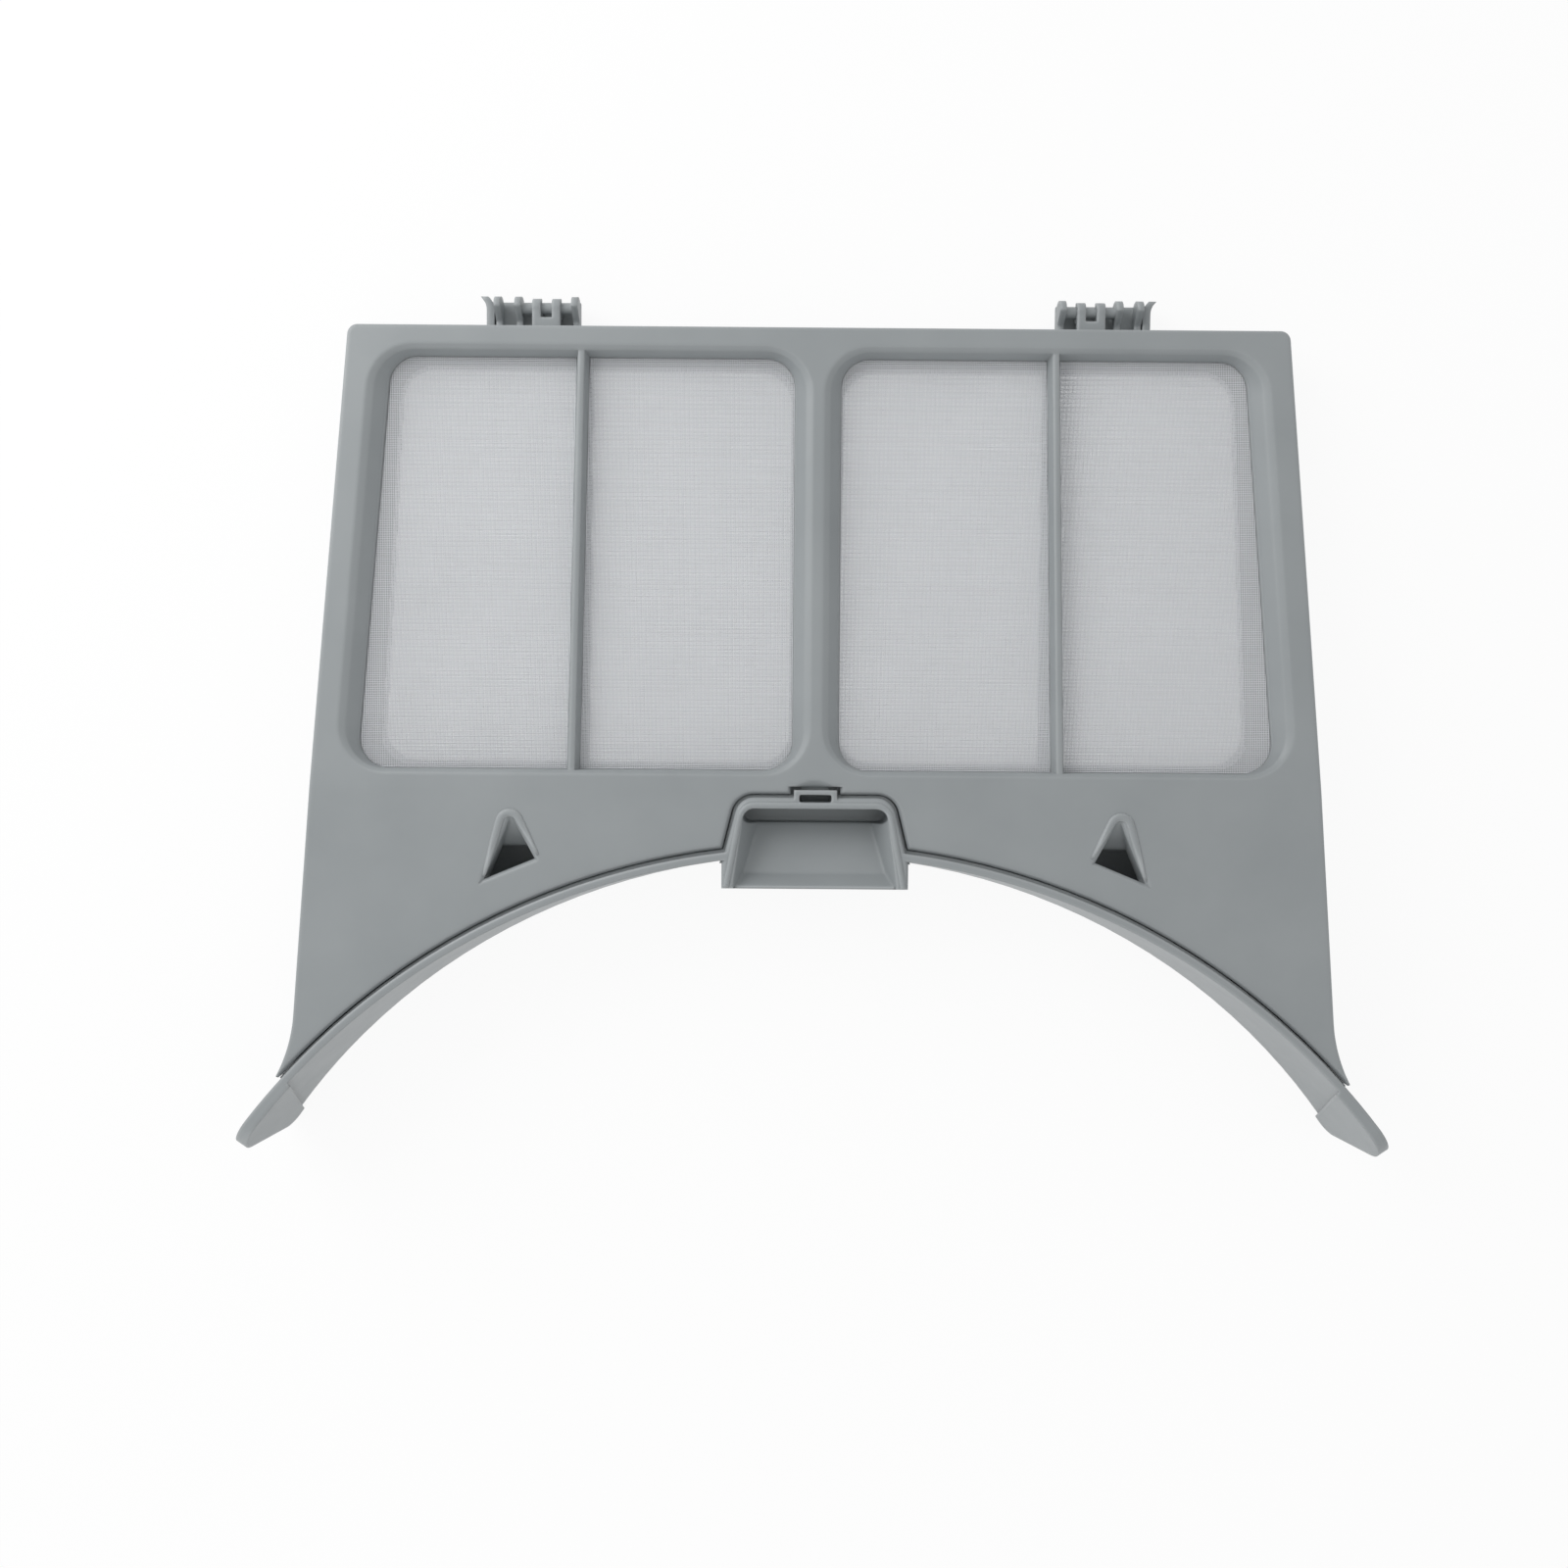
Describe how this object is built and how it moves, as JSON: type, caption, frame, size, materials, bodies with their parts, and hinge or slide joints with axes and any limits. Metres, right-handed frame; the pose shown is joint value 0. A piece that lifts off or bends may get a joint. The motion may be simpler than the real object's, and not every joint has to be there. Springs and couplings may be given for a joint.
{
  "type": "tumble dryer lint filter",
  "caption": "Fold-open tumble dryer lint filter: a grey wedge-shaped cassette with woven mesh windows, an arched sill and a finger handle.",
  "frame": {"origin": "on the flat rear face, on the line of symmetry, at the cross bar between the windows and the handle", "axes": "+X to the right across the filter, +Y towards the hinges, +Z off the rear face towards the cover"},
  "size_m": [0.3372, 0.2518, 0.0358],
  "materials": {
    "grey_plastic": "fine satin",
    "white_mesh": "woven"
  },
  "bodies": {
    "frame": {"rear_frame": "grey_plastic", "rear_mesh_left": "white_mesh", "rear_mesh_right": "white_mesh"},
    "cover": {"front_cover": "grey_plastic", "front_mesh_left": "white_mesh", "front_mesh_right": "white_mesh"}
  },
  "joints": [
    {"name": "cover_hinge", "type": "hinge", "parent": "frame", "child": "cover", "pos_m": [0, 0.13702, 0.00714], "axis": [-1, 0, 0], "range_deg": [0, 170]}
  ]
}
